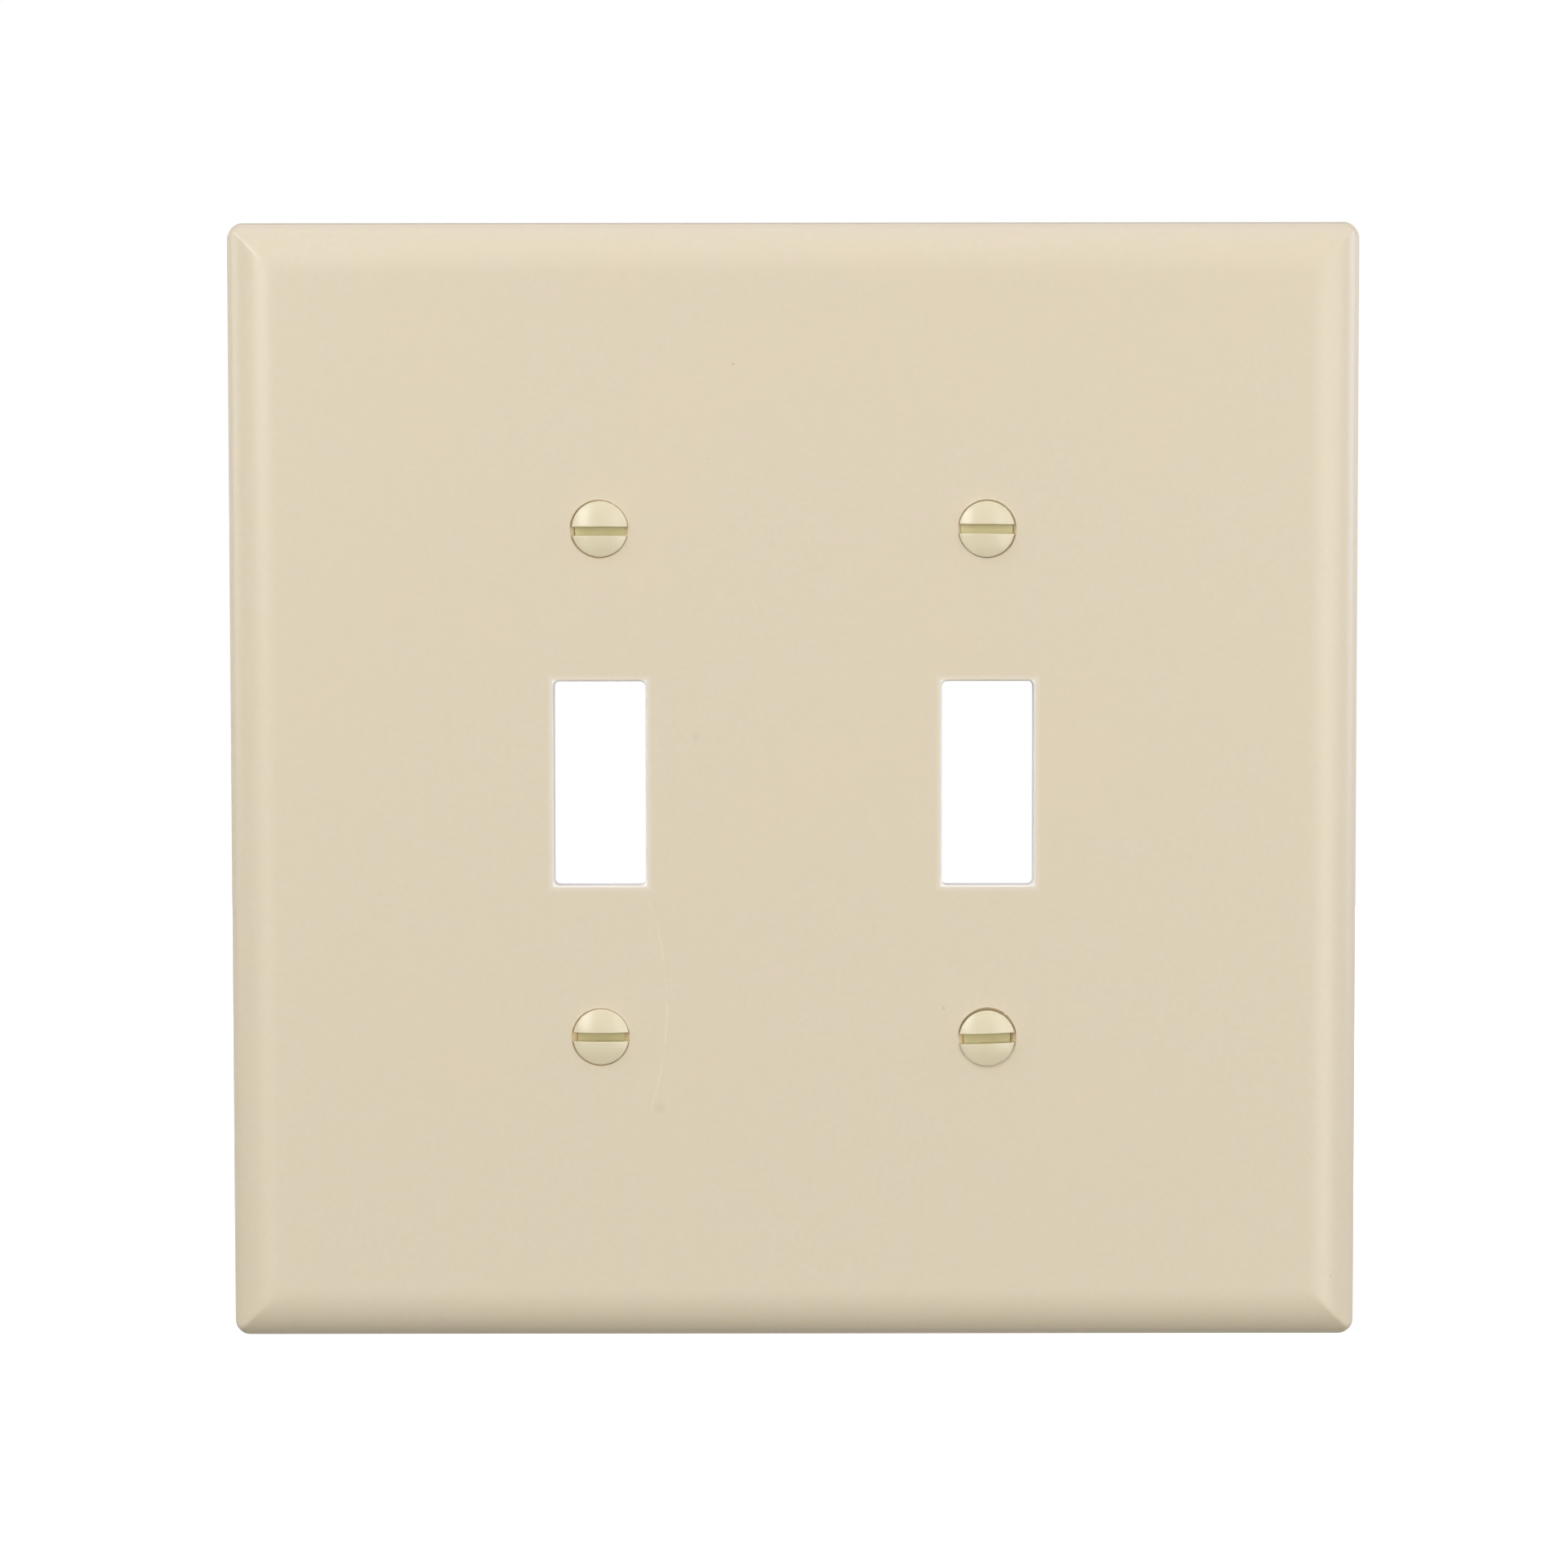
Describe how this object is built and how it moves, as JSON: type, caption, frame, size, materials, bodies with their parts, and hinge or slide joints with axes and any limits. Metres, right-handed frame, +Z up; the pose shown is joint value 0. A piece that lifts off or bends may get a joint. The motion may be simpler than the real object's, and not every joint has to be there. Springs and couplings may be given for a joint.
{
  "type": "toggle switch wall plate",
  "caption": "Square ivory cover plate for toggle switches side by side, with rolled edges, lever openings and slotted oval-head screws.",
  "frame": {"origin": "centre of the plate's back rim, on the wall plane", "axes": "+Y into the wall, so the front faces -Y; +X to the right as seen from the front; +Z up"},
  "size_m": [0.135, 0.0106, 0.1334],
  "materials": {
    "ivory_plastic": "moulded, semi-gloss",
    "ivory_paint": "gloss paint on steel"
  },
  "bodies": {
    "plate": {"wall_plate": "ivory_plastic"},
    "top_left_screw": {"screw_top_left": "ivory_paint"},
    "top_right_screw": {"screw_top_right": "ivory_paint"},
    "bottom_left_screw": {"screw_bottom_left": "ivory_paint"},
    "bottom_right_screw": {"screw_bottom_right": "ivory_paint"}
  },
  "joints": [
    {"name": "turn_top_left", "type": "hinge", "parent": "plate", "child": "top_left_screw", "pos_m": [-0.02292, -0.00646, 0.03016], "axis": [0, 1, 0], "continuous": true},
    {"name": "turn_top_right", "type": "hinge", "parent": "plate", "child": "top_right_screw", "pos_m": [0.02287, -0.00653, 0.03011], "axis": [0, 1, 0], "continuous": true},
    {"name": "turn_bottom_left", "type": "hinge", "parent": "plate", "child": "bottom_left_screw", "pos_m": [-0.02295, -0.00643, -0.03016], "axis": [0, 1, 0], "continuous": true},
    {"name": "turn_bottom_right", "type": "hinge", "parent": "plate", "child": "bottom_right_screw", "pos_m": [0.02298, -0.00658, -0.03036], "axis": [0, 1, 0], "continuous": true}
  ]
}
